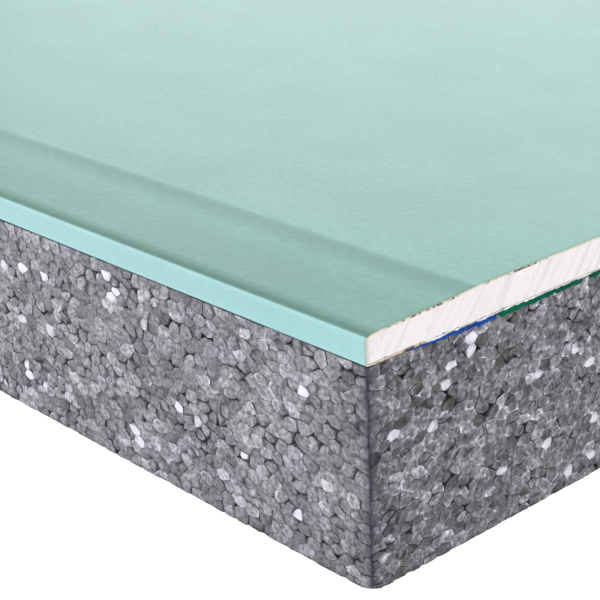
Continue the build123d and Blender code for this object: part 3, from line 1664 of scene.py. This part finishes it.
@dataclass(frozen=True)
class Softbox:
    """A large soft lamp, placed by its direction from the sheet's near corner."""

    name: str
    azimuth: float
    elevation: float
    distance: float
    width: float
    height: float
    level: float
    tint: Triple = (1.0, 1.0, 1.0)

    def build(self, target: Vector) -> bpy.types.Object:
        """Hang the lamp and aim it.

        Args:
            target: The point that it shines at.

        Returns:
            The lamp.
        """
        towards = direction(self.azimuth, self.elevation)
        lamp = bpy.data.lights.new(self.name, "AREA")
        lamp.shape = "RECTANGLE"
        lamp.size = self.width
        lamp.size_y = self.height
        lamp.energy = self.level * math.pi ** 2 * self.distance ** 2
        lamp.color = self.tint
        holder = bpy.data.objects.new(self.name, lamp)
        holder.location = target + towards * self.distance
        holder.rotation_euler = towards.to_track_quat("Z", "Y").to_euler()
        bpy.context.scene.collection.objects.link(holder)
        return holder


@dataclass
class Studio:
    """White floor, white surroundings, soft lamps and the photograph's camera."""

    corner: Vector
    camera_offset: Vector = field(default_factory=lambda: Vector((0.3154, -0.3037, 0.2790)))
    heading: float = 138.65
    dip: float = 21.88
    roll: float = -2.29
    focal_pixels: float = 1577.8
    sensor: float = 36.0
    nearest: float = 0.01
    ambient: float = 0.55
    floor_size: float = 40.0
    floor_drop: float = 0.2 * MM
    floor_glow: float = 0.80
    floor_grey: Colour = (0.8, 0.8, 0.8, 1.0)
    lamps: tuple[Softbox, ...] = (
        Softbox("window_box", 32, 24, 5.0, 5.0, 3.0, 0.6),
        Softbox("sheen_box", 115, 9, 6.0, 8.5, 1.9, 0.24, (1.0, 1.0, 1.06)),
        Softbox("left_box", 240, 9, 4.5, 6.0, 1.4, 0.77, (1.0, 1.0, 1.01)),
    )

    def build(self) -> None:
        """Set up the whole studio."""
        self.floor()
        self.surroundings()
        for lamp in self.lamps:
            lamp.build(self.corner)
        self.camera()
        bpy.context.scene.view_settings.view_transform = "Standard"

    def floor(self) -> None:
        """Lay the pale floor, which looks white and still takes the sheet's shadow."""
        bpy.ops.mesh.primitive_plane_add(size=self.floor_size, location=(0, 0, -self.floor_drop))
        floor = bpy.context.object
        floor.name = "floor"
        graph = new_graph("white_floor")
        matte = graph.add("BsdfDiffuse", {"Color": self.floor_grey})
        glow = graph.add("Emission", {"Color": WHITE, "Strength": self.floor_glow})
        both = graph.add("AddShader", {0: matte.outputs[0], 1: glow.outputs[0]})
        mixed = graph.add("MixShader", {0: graph.looked_at(), 1: matte.outputs[0], 2: both.outputs[0]})
        floor.data.materials.append(graph.finish(mixed))

    def surroundings(self) -> None:
        """Make the world white to look at and softer as light."""
        world = bpy.data.worlds.new("surroundings")
        bpy.context.scene.world = world
        graph = Graph(world)
        soft = graph.add("Background", {"Color": WHITE, "Strength": self.ambient})
        white = graph.add("Background", {"Color": WHITE, "Strength": 1.0})
        mixed = graph.add("MixShader", {0: graph.looked_at(), 1: soft.outputs[0], 2: white.outputs[0]})
        graph.finish(mixed)

    def camera(self) -> None:
        """Stand the camera where the photograph was taken."""
        ahead = direction(self.heading, -self.dip)
        level = ahead.cross(Vector((0, 0, 1))).normalized()
        lift = level.cross(ahead)
        roll = math.radians(self.roll)
        right = level * math.cos(roll) + lift * math.sin(roll)
        up = right.cross(ahead)
        lens = bpy.data.cameras.new("photo_camera")
        lens.sensor_width = self.sensor
        lens.lens = self.sensor * self.focal_pixels / IMAGE_PIXELS
        lens.clip_start = self.nearest
        camera = bpy.data.objects.new("photo_camera", lens)
        facing = Matrix((right, up, -ahead)).transposed().to_4x4()
        camera.matrix_world = Matrix.Translation(self.corner + self.camera_offset) @ facing
        bpy.context.scene.collection.objects.link(camera)
        bpy.context.scene.camera = camera


def end_marks(corner: Vector) -> EndMarks:
    """Give the film along the joint, measured from the foam's top at the near corner.

    Args:
        corner: The foam's top at the near corner.

    Returns:
        The marks, ready to build.
    """
    blue = FilmFinish("blue_film", srgb(24, 78, 160), srgb(96, 130, 190))
    green = FilmFinish("green_film", srgb(0, 94, 70), srgb(30, 126, 98))
    glue = FilmFinish("glue_film", srgb(240, 240, 240), srgb(214, 212, 210))
    # Name, start and end along the joint, lower and upper edge at each in mm, and the film
    rows = (
        ("blue_mark", 18, 60, (-0.3, 0.1), (-2.0, 0.0), blue),
        ("green_mark", 60.6, 105, (-1.9, 0.0), (-1.8, 0.0), green),
        ("green_mark_end", 108, 150, (-1.8, 0.0), (-1.3, -0.05), green),
        ("glue_line", 26, 156, (0.12, 0.55), (0.1, 0.5), glue),
    )
    marks = []
    for name, start, end, first, last, finish in rows:
        edges = [tuple(level * MM for level in pair) for pair in (first, last)]
        marks.append(Mark(name, (start * MM, end * MM), *edges, finish))
    return EndMarks(corner, tuple(marks))


def main() -> None:
    """Build the sheet's pieces in order, then the studio, and note the sizes."""
    logging.basicConfig(level=logging.INFO)
    foam_low, foam_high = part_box("insulation_board")
    liner_low, liner_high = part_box("face_paper")
    back_low, back_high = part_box("back_paper")
    section = EdgeSection(liner_high.y, liner_high.z, liner_low.z, back_high.z - back_low.z)
    FoamBoard(foam_low, foam_high).build()
    BackLiner(back_low, back_high).build()
    PlasterCore(section, liner_high.x, back_high.z).build()
    FaceLiner(section, liner_high.x).build()
    SeamGlueAndShade(foam_high.x, foam_high.y, foam_high.z, liner_low.z).build()
    near_corner = Vector((foam_high.x, foam_low.y, foam_low.z))
    end_marks(Vector((foam_high.x, foam_low.y, foam_high.z))).build()
    Studio(near_corner).build()


if __name__ == "__main__":
    main()
